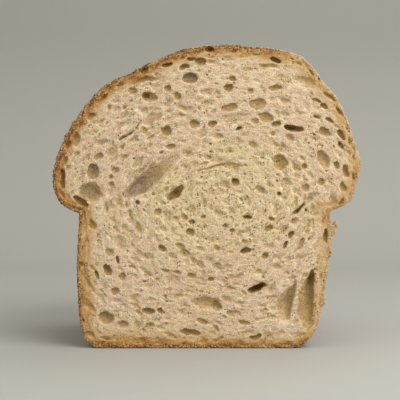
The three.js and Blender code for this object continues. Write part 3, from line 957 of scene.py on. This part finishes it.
def addNode(tree, kind, inputs=None, stops=None, **settings):
    # a node with its settings, its links or values by socket, and a colour ramp's stops, whose
    # two ends come first
    node = tree.nodes.new(kind)
    for name, value in settings.items():
        setattr(node, name, value)
    for key, value in (inputs or {}).items():
        if isinstance(value, bpy.types.NodeSocket):
            tree.links.new(value, node.inputs[key])
        else:
            node.inputs[key].default_value = value
    for n, (place, colour) in enumerate(stops or []):
        ramp = node.color_ramp.elements
        stop = ramp[n] if n < 2 else ramp.new(place)
        stop.position = place
        stop.color = colour
    return node


crumbLook = {
    "warm": "#D3BE98",
    "rosy": "#CFB59C",
    "streakShade": "#B69B72",  # painted soft shade, in streaks round the swirl
    "speckHighlight": "#EADCBC",  # painted highlights: torn cell walls that catch the light
    "pitShadeAndGrain": "#9C8054",  # painted shade at the bottoms of the fine foam's bubbles, and the darker fine grain
    # tints that darken the bread's colour in the holes: their smooth skin together with painted shade,
    # and more painted shade deep down
    "liningAndShade": "#DAD0AF",
    "greyLining": "#BBB2B2",
    "deepHoleShade": "#DEC08E",
    # painted shade in the tiny open pores
    "pinhole": "#6B4F28",
    # painted shade in the shallow cells' ovals
    "cell": "#AB9264",
    # sizes in mm: patches of hue, streaks, torn grains, and from one cell, bubble or pinhole
    # to the next
    "huePatch": 26,
    "streak": 2.2,
    "grain": 0.6,
    "shadedCells": (3.3, 1.9),
    "foam": 1.15,
    "fineFoam": 0.7,
    "pinholes": 1.1,
    "pinholePatch": 8,
    "bumpGrain": 0.7,
    "bump": 0.22,  # how high the bumps stand, mm
    "roughness": 0.9,
    "scatter": 0.25,  # share of the light that goes in, and how far in mm as red, green, blue
    "scatterReach": (1.3, 0.9, 0.5),
}
crustLook = {
    "toasted": "#BF9F71",  # from the crumb outwards
    "gold": "#AE8650",
    "brown": "#936637",
    "dark": "#663E1B",
    "grain": "#DDC08C",  # painted highlights: torn grains that catch the light
    "roughness": (0.42, 0.66),  # from patch to patch
    # sizes in mm, and how high the bumps stand
    "grit": 0.8,
    "bubble": 1.9,
    "blister": 3.2,
    "freckle": 1.5,
    "patch": 4,  # of uneven browning, and of the strands in the torn edge
    "strand": 1.8,
    "tornGrain": 0.65,
    "glossPatch": 6,
    "bump": 0.5,
}


def mixed(tree, share, first, second, blend="MIX"):
    # two colours in a share that runs from the first to the second
    inputs = {0: share, 6: first, 7: second}
    return addNode(tree, "ShaderNodeMix", inputs, data_type="RGBA", blend_type=blend).outputs[2]


def attribute(tree, name, output="Fac"):
    return addNode(tree, "ShaderNodeAttribute", attribute_name=name).outputs[output]


def noise(tree, place, size, detail=2, roughness=0.6):
    # soft noise around 0.5, whose lumps are about size mm across
    inputs = {"Vector": place, "Scale": 1 / size, "Detail": detail, "Roughness": roughness}
    return addNode(tree, "ShaderNodeTexNoise", inputs).outputs["Fac"]


def ranged(tree, value, start, end, first=0, last=1):
    # the value, moved from the range of start to end into first to last and kept within it
    inputs = {0: value, 1: start, 2: end, 3: first, 4: last}
    return addNode(tree, "ShaderNodeMapRange", inputs).outputs[0]


def combined(tree, operation, *values):
    return addNode(tree, "ShaderNodeMath", dict(enumerate(values)), operation=operation).outputs[0]


def cellular(tree, place, size, **settings):
    # a pattern of cells whose middles lie about size mm apart
    inputs = {"Vector": place, "Scale": 1 / size}
    return addNode(tree, "ShaderNodeTexVoronoi", inputs, **settings).outputs


def pickedCells(tree, place, size):
    # how far from a cell's middle a place is, and a number from 0 to 1 for each cell
    cells = cellular(tree, place, size)
    pick = addNode(tree, "ShaderNodeSeparateColor", {0: cells["Color"]}).outputs[0]
    return cells["Distance"], pick


def browned(tree, place, bread):
    # the bread's colour, toasted and browned towards the crust, unevenly and in fine grit, with painted
    # highlights on torn grains along the cut
    brown = attribute(tree, "brown")
    torn = attribute(tree, "torn")
    patches = noise(tree, place, crustLook["patch"], 3)
    strands = noise(tree, attribute(tree, "strands", "Vector"), crustLook["strand"], 3)
    strands = addNode(tree, "ShaderNodeMix", {0: torn, 2: patches, 3: strands}).outputs[0]
    uneven = combined(tree, "ADD", strands, noise(tree, place, crustLook["grit"], 3, 0.7))
    uneven = ranged(tree, uneven, 0.8, 1.2, -0.6, 0.6)
    uneven = combined(tree, "MULTIPLY", uneven, ranged(tree, torn, 0, 1, 0.2, 1))
    freckles = ranged(tree, noise(tree, place, crustLook["freckle"], 3, 0.65), 0.48, 0.68, -0.05, 0.16)
    freckles = combined(tree, "MULTIPLY", freckles, ranged(tree, torn, 0, 1, 1, 0))
    uneven = combined(tree, "ADD", uneven, freckles)
    brown = combined(tree, "MULTIPLY", brown, combined(tree, "ADD", uneven, 1))
    crustColour = addNode(tree, "ShaderNodeValToRGB", {"Fac": brown}, stops=[
        (0.18, linear(crustLook["toasted"])), (1, linear(crustLook["dark"])),
        (0.44, linear(crustLook["gold"])), (0.7, linear(crustLook["brown"])),
    ]).outputs["Color"]
    colour = mixed(tree, ranged(tree, brown, 0.03, 0.28), bread, crustColour)
    # painted highlights on torn grains along the cut
    grains = ranged(tree, noise(tree, place, crustLook["tornGrain"], 2, 0.7), 0.55, 0.68, 0, 0.4)
    grains = combined(tree, "MULTIPLY", grains, ranged(tree, torn, 0, 1, 0.2, 1))
    return mixed(tree, grains, colour, linear(crustLook["grain"]))


def wanderingGrain(tree, place, size, reach):
    # the place in the dough's grain, moved about by up to reach mm in lumps of about size mm
    wander = addNode(tree, "ShaderNodeTexNoise", {"Vector": place, "Scale": 1 / size, "Detail": 2})
    inputs = {0: wander.outputs["Color"], 1: (reach,) * 3, 2: attribute(tree, "grain", "Vector")}
    return addNode(tree, "ShaderNodeVectorMath", inputs, operation="MULTIPLY_ADD").outputs[0]


def foam(tree, place):
    # the fine foam that the mesh can't hold, 0 on its walls and 1 in its bubbles; the finest
    # bubbles are drawn about twice as coarse as real ones, so that they show
    grain = wanderingGrain(tree, place, 2.4, 1.1)
    layers = []
    for where, size, rim, middle in ((grain, crumbLook["foam"], 0.62, 0.25),
                                     (place, crumbLook["fineFoam"], 0.6, 0.2)):
        layers.append(ranged(tree, cellular(tree, where, size)["Distance"], rim, middle))
    return combined(tree, "MULTIPLY_ADD", layers[1], 0.7, layers[0])


def shadedCells(tree, place, size):
    # faint darker ovals in pale rings, drawn for shallow cells: the ovals are painted shade and the
    # rings painted highlights; the ovals' share and the rings'
    where = wanderingGrain(tree, place, 0.9 * size, 0.55 * size)
    distance, pick = pickedCells(tree, where, size)
    past = combined(tree, "SUBTRACT", ranged(tree, pick, 0.25, 1, -0.2, 0.58), distance)
    ring = combined(tree, "MULTIPLY", ranged(tree, past, -0.18, -0.07), ranged(tree, past, 0.05, -0.03))
    return ranged(tree, past, -0.03, 0.12, 0, 0.55), combined(tree, "MULTIPLY", ring, 0.5)


def pinholes(tree, place):
    # tiny open pores, in patches and round the swirl's middle, drawn dark as painted shade: their share
    # at each place
    distance, pick = pickedCells(tree, place, crumbLook["pinholes"])
    crowded = ranged(tree, noise(tree, place, crumbLook["pinholePatch"]), 0.49, 0.61)
    inSwirl = ranged(tree, attribute(tree, "rosy"), 1, 0, 0, 0.75)
    crowded = combined(tree, "MAXIMUM", crowded, inSwirl)
    size = combined(tree, "MULTIPLY", ranged(tree, pick, 0.4, 1, 0.05, 0.55), crowded)
    return ranged(tree, combined(tree, "SUBTRACT", size, distance), -0.02, 0.1, 0, 0.85)


def crumbColour(tree, place, bubbleDepth):
    # the bread's colour: two hues in patches, then painted shade in streaks, in shallow cells' ovals
    # and in the fine foam's bubbles, darker fine grain, and painted highlights on the cells' rings and
    # on torn grains
    hue = ranged(tree, noise(tree, place, crumbLook["huePatch"]), 0.35, 0.65, -0.5, 0.5)
    hue = ranged(tree, combined(tree, "ADD", hue, attribute(tree, "rosy")), 0, 1)
    colour = mixed(tree, hue, linear(crumbLook["warm"]), linear(crumbLook["rosy"]))
    inputs = {0: attribute(tree, "grain", "Vector"), 1: (0.35, 0.35, 1)}
    drawnOut = addNode(tree, "ShaderNodeVectorMath", inputs, operation="MULTIPLY").outputs[0]
    streaks = ranged(tree, noise(tree, drawnOut, crumbLook["streak"], 3), 0.4, 0.68, 0, 0.4)
    # painted soft shade in streaks round the swirl
    colour = mixed(tree, streaks, colour, linear(crumbLook["streakShade"]))
    for size in crumbLook["shadedCells"]:
        ovalShade, ring = shadedCells(tree, place, size)
        # painted shade in the shallow cells' ovals, and painted highlights on their rings
        colour = mixed(tree, ovalShade, colour, linear(crumbLook["cell"]))
        colour = mixed(tree, ring, colour, linear(crumbLook["speckHighlight"]))
    # painted shade at the bottoms of the fine foam's bubbles; below, darker fine grain in the same
    # colour
    colour = mixed(tree, ranged(tree, bubbleDepth, 0.3, 1.7, 0, 0.7), colour, linear(crumbLook["pitShadeAndGrain"]))
    fine = noise(tree, place, crumbLook["grain"], 2, 0.75)
    colour = mixed(tree, ranged(tree, fine, 0.46, 0.33, 0, 0.45), colour, linear(crumbLook["pitShadeAndGrain"]))
    # painted highlights on torn grains
    colour = mixed(tree, ranged(tree, fine, 0.52, 0.66, 0, 0.8), colour, linear(crumbLook["speckHighlight"]))
    return browned(tree, place, colour)


looseCrumbs = {
    "crust": 1.5,  # crumbs per square mm along the crust's torn edge
    "crumb": 0.1,  # and on the cut
    "reach": 1.6,  # mm behind the cut over which they get fewer
    "smallest": 0.3,  # mm across
    "largest": 1.25,
    "browning": (0.1, 1.1),  # share of the crust's browning that a crumb keeps, from and to
    "seed": 5,
}


def crumbTree():
    # crumbs scattered where the mesh's "loose" value allows, each a small uneven lump
    tree = bpy.data.node_groups.new("looseCrumbs", "GeometryNodeTree")
    sockets = {}
    for name, kind in (("Ground", "NodeSocketGeometry"), ("Per Square Metre", "NodeSocketFloat"),
                       ("Smallest", "NodeSocketFloat"), ("Largest", "NodeSocketFloat"),
                       ("Seed", "NodeSocketInt"), ("Material", "NodeSocketMaterial")):
        sockets[name] = tree.interface.new_socket(name, in_out="INPUT", socket_type=kind).identifier
    tree.interface.new_socket("Crumbs", in_out="OUTPUT", socket_type="NodeSocketGeometry")
    given = addNode(tree, "NodeGroupInput").outputs
    loose = addNode(tree, "GeometryNodeInputNamedAttribute", {"Name": "loose"}).outputs["Attribute"]
    density = combined(tree, "MULTIPLY", loose, given["Per Square Metre"])
    spots = addNode(tree, "GeometryNodeDistributePointsOnFaces",
                    {"Mesh": given["Ground"], "Density": density, "Seed": given["Seed"]})
    palest, brownest = looseCrumbs["browning"]
    pale = addNode(tree, "FunctionNodeRandomValue", {2: palest, 3: brownest})
    brown = addNode(tree, "GeometryNodeInputNamedAttribute", {"Name": "brown"}).outputs["Attribute"]
    paler = combined(tree, "MULTIPLY", brown, pale.outputs[1])
    tinted = addNode(tree, "GeometryNodeStoreNamedAttribute",
                     {"Geometry": spots.outputs["Points"], "Name": "brown", "Value": paler})
    size = addNode(tree, "FunctionNodeRandomValue",
                   {2: given["Smallest"], 3: given["Largest"], "Seed": 1})
    squash = addNode(tree, "FunctionNodeRandomValue", {0: (0.55, 0.55, 0.55), 1: (1, 1, 1), "Seed": 2},
                     data_type="FLOAT_VECTOR")
    scale = addNode(tree, "ShaderNodeVectorMath", {0: squash.outputs[0], "Scale": size.outputs[1]},
                    operation="SCALE")
    turn = addNode(tree, "FunctionNodeRandomValue", {1: (2 * math.pi,) * 3, "Seed": 3},
                   data_type="FLOAT_VECTOR")
    lump = addNode(tree, "GeometryNodeMeshIcoSphere", {"Radius": 0.5, "Subdivisions": 1})
    placed = addNode(tree, "GeometryNodeInstanceOnPoints", {
        "Points": tinted.outputs[0], "Instance": lump.outputs["Mesh"],
        "Rotation": turn.outputs[0], "Scale": scale.outputs[0],
    })
    real = addNode(tree, "GeometryNodeRealizeInstances", {"Geometry": placed.outputs[0]})
    dressed = addNode(tree, "GeometryNodeSetMaterial",
                      {"Geometry": real.outputs[0], "Material": given["Material"]})
    addNode(tree, "NodeGroupOutput", {"Crumbs": dressed.outputs[0]})
    return tree, sockets


def crumbsOn(ground, tree, sockets):
    # the loose crumbs on one piece, as a piece of their own that stays within the loaf's box
    crumbs = bpy.data.objects.new(f"{ground.name}Loose", ground.data)
    bpy.context.scene.collection.objects.link(crumbs)
    modifier = crumbs.modifiers.new("crumbs", "NODES")
    modifier.node_group = tree
    chosen = {
        "Per Square Metre": looseCrumbs[ground.name] / mm**2,
        "Smallest": looseCrumbs["smallest"] * mm, "Largest": looseCrumbs["largest"] * mm,
        "Seed": looseCrumbs["seed"], "Material": ground.data.materials[0],
    }
    for name, value in chosen.items():
        modifier[sockets[name]] = value
    keptInBox(plainMesh(crumbs)).data.shade_smooth()
    return crumbs


def newMaterial(name):
    # an empty material, its tree, and the place in millimetres that its patterns read
    material = bpy.data.materials.new(name)
    material.use_nodes = True
    tree = material.node_tree
    tree.nodes.clear()
    coords = addNode(tree, "ShaderNodeTexCoord")
    place = addNode(tree, "ShaderNodeVectorMath", {"Vector": coords.outputs["Object"], "Scale": 1 / mm},
                    operation="SCALE").outputs[0]
    return material, tree, place


def breadCrumb():
    # wheat bread crumb: soft, matt and slightly see-through, its holes lined with a darker skin and
    # darkened further with painted shade
    material, tree, place = newMaterial("wheatCrumb")
    bubbleDepth = foam(tree, place)
    hollow = attribute(tree, "hollow")
    tints = [linear(crumbLook[name]) for name in ("liningAndShade", "greyLining", "deepHoleShade")]
    liningAndShade = mixed(tree, attribute(tree, "grey"), tints[0], tints[1])
    colour = crumbColour(tree, place, bubbleDepth)
    # the holes' darker skin together with painted shade, then more painted shade deep down, warmed
    colour = mixed(tree, ranged(tree, hollow, 0.1, 1), colour, liningAndShade, "MULTIPLY")
    colour = mixed(tree, ranged(tree, hollow, 3, 7), colour, tints[2], "MULTIPLY")
    pinhole = pinholes(tree, place)
    # painted shade in the tiny pores, which are also pressed in as bumps below
    colour = mixed(tree, pinhole, colour, linear(crumbLook["pinhole"]))
    grains = noise(tree, place, crumbLook["bumpGrain"], 3, 0.7)
    height = combined(tree, "MULTIPLY_ADD", bubbleDepth, -0.7, grains)
    height = combined(tree, "MULTIPLY_ADD", pinhole, -1, height)
    bump = addNode(tree, "ShaderNodeBump",
                   {"Height": height, "Distance": crumbLook["bump"] * mm, "Strength": 0.5})
    shader = addNode(tree, "ShaderNodeBsdfPrincipled", {
        "Base Color": colour, "Roughness": crumbLook["roughness"], "IOR": 1.4,
        "Specular IOR Level": 0.3, "Subsurface Weight": crumbLook["scatter"],
        "Subsurface Radius": crumbLook["scatterReach"], "Subsurface Scale": mm,
        "Normal": bump.outputs[0],
    })
    addNode(tree, "ShaderNodeOutputMaterial", {"Surface": shader.outputs[0]})
    return material


def breadCrust():
    # browned wheat crust: dry and gritty, with a faint gloss
    material, tree, place = newMaterial("brownedCrust")
    domes = cellular(tree, place, crustLook["bubble"], feature="SMOOTH_F1")
    grit = noise(tree, place, crustLook["grit"], 4, 0.65)
    height = combined(tree, "MULTIPLY_ADD", domes["Distance"], -0.6, grit)
    blisters = ranged(tree, noise(tree, place, crustLook["blister"], 2), 0.5, 0.7)
    height = combined(tree, "MULTIPLY_ADD", blisters, 0.8, height)
    bump = addNode(tree, "ShaderNodeBump",
                   {"Height": height, "Distance": crustLook["bump"] * mm, "Strength": 1})
    gloss = noise(tree, place, crustLook["glossPatch"], 3)
    roughness = ranged(tree, gloss, 0.35, 0.65, *crustLook["roughness"])
    shader = addNode(tree, "ShaderNodeBsdfPrincipled", {
        "Base Color": crumbColour(tree, place, foam(tree, place)), "Roughness": roughness,
        "IOR": 1.45, "Specular IOR Level": 0.35, "Normal": bump.outputs[0],
    })
    addNode(tree, "ShaderNodeOutputMaterial", {"Surface": shader.outputs[0]})
    return material


photoView = {
    "pixels": 400,
    "mmPerPixel": 0.485,
    "middleColumn": 207,  # pixel column of x = 0
    "baseRow": 348.5,  # pixel row of z = 0
    "distance": 450,  # mm from the camera to the cut
}
stageLook = {  # sizes in metres; wide and long enough that no view sees past it
    "wall": "#A4A39C",
    "width": 60,
    "front": 30,
    "back": 0.75,
    "height": 1.6,
    "bend": 0.3,
    "bendSteps": 12,
}


def makeStage():
    # a pale floor that sweeps up into a wall
    profile = [(-stageLook["front"], 0)]
    radius, back = stageLook["bend"], stageLook["back"]
    for n in range(stageLook["bendSteps"] + 1):
        turn = math.pi / 2 * n / stageLook["bendSteps"]
        profile.append((back - radius + radius * math.sin(turn), radius - radius * math.cos(turn)))
    profile.append((back, stageLook["height"]))
    half = stageLook["width"] / 2
    points = [(side, y, z) for y, z in profile for side in (-half, half)]
    faces = [(2 * n, 2 * n + 1, 2 * n + 3, 2 * n + 2) for n in range(len(profile) - 1)]
    mesh = bpy.data.meshes.new("sweep")
    mesh.from_pydata(points, [], faces)
    mesh.shade_smooth()
    sweep = bpy.data.objects.new("sweep", mesh)
    bpy.context.scene.collection.objects.link(sweep)
    material = bpy.data.materials.new("paintedBoard")  # matt emulsion on board
    material.use_nodes = True
    shader = material.node_tree.nodes["Principled BSDF"]
    shader.inputs["Base Color"].default_value = linear(stageLook["wall"])
    shader.inputs["Roughness"].default_value = 0.9
    mesh.materials.append(material)


def makeCamera():
    # straight at the cut, framed as the photograph is
    view = photoView
    camera = bpy.data.cameras.new("camera")
    camera.sensor_width = 36
    camera.lens = camera.sensor_width * view["distance"] / (view["pixels"] * view["mmPerPixel"])
    holder = bpy.data.objects.new("camera", camera)
    bpy.context.scene.collection.objects.link(holder)
    x = (view["pixels"] / 2 - view["middleColumn"]) * view["mmPerPixel"]
    z = (view["baseRow"] - view["pixels"] / 2) * view["mmPerPixel"]
    holder.location = (x * mm, (cutFace - view["distance"]) * mm, z * mm)
    holder.rotation_euler = (math.pi / 2, 0, 0)
    bpy.context.scene.camera = holder


light = {
    # soft lamps: name, place in metres, size, watts; all aim at the loaf's middle
    "lamps": [("above", (0.38, -0.44, 0.52), 0.65, 4.5), ("behind", (0.3, 0.55, 1.1), 0.8, 4)],
    "room": "#E8E6E0",
    "roomStrength": 1.06,
}


def makeLight():
    # even light from the whole room, and the lamps
    for name, place, size, watts in light["lamps"]:
        lamp = bpy.data.lights.new(name, "AREA")
        lamp.shape = "DISK"
        lamp.size = size
        lamp.energy = watts
        holder = bpy.data.objects.new(name, lamp)
        bpy.context.scene.collection.objects.link(holder)
        holder.location = place
        aim = Vector((0, 0, high[2] / 2 * mm)) - holder.location
        holder.rotation_euler = aim.to_track_quat("-Z", "Y").to_euler()
    world = bpy.data.worlds.new("room")
    world.use_nodes = True
    background = world.node_tree.nodes["Background"]
    background.inputs["Color"].default_value = linear(light["room"])
    background.inputs["Strength"].default_value = light["roomStrength"]
    bpy.context.scene.world = world


for form in (crown, walls):
    prepareForm(form)
skinField = measureOutside()
inBread = np.nonzero(skinField[front] < 1)  # or within 1 mm of it
crisp, soft = carveAirHoles(inBread)
cut = measureCut(inBread, crisp, soft)
shell = crustThickness()
crumb, crust = [make(skinField, shell, cut) for make in (makeCrumb, makeCrust)]
for piece, finish in ((crumb, breadCrumb), (crust, breadCrust)):
    addBreadValues(piece, crisp, soft)
    piece.data.materials.append(finish())
report("finishes made")

scatter = crumbTree()
looseOnCrumb, looseOnCrust = [crumbsOn(piece, *scatter) for piece in (crumb, crust)]
looseFaces = len(looseOnCrumb.data.polygons) + len(looseOnCrust.data.polygons)
report(f"loose crumbs: {looseFaces} triangles")

for piece in (crumb, crust, looseOnCrumb, looseOnCrust):
    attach(piece, "root")
    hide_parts("loaf")

makeStage()
makeCamera()
makeLight()
bpy.context.scene.view_settings.view_transform = "Standard"
report("stage, camera and light made")
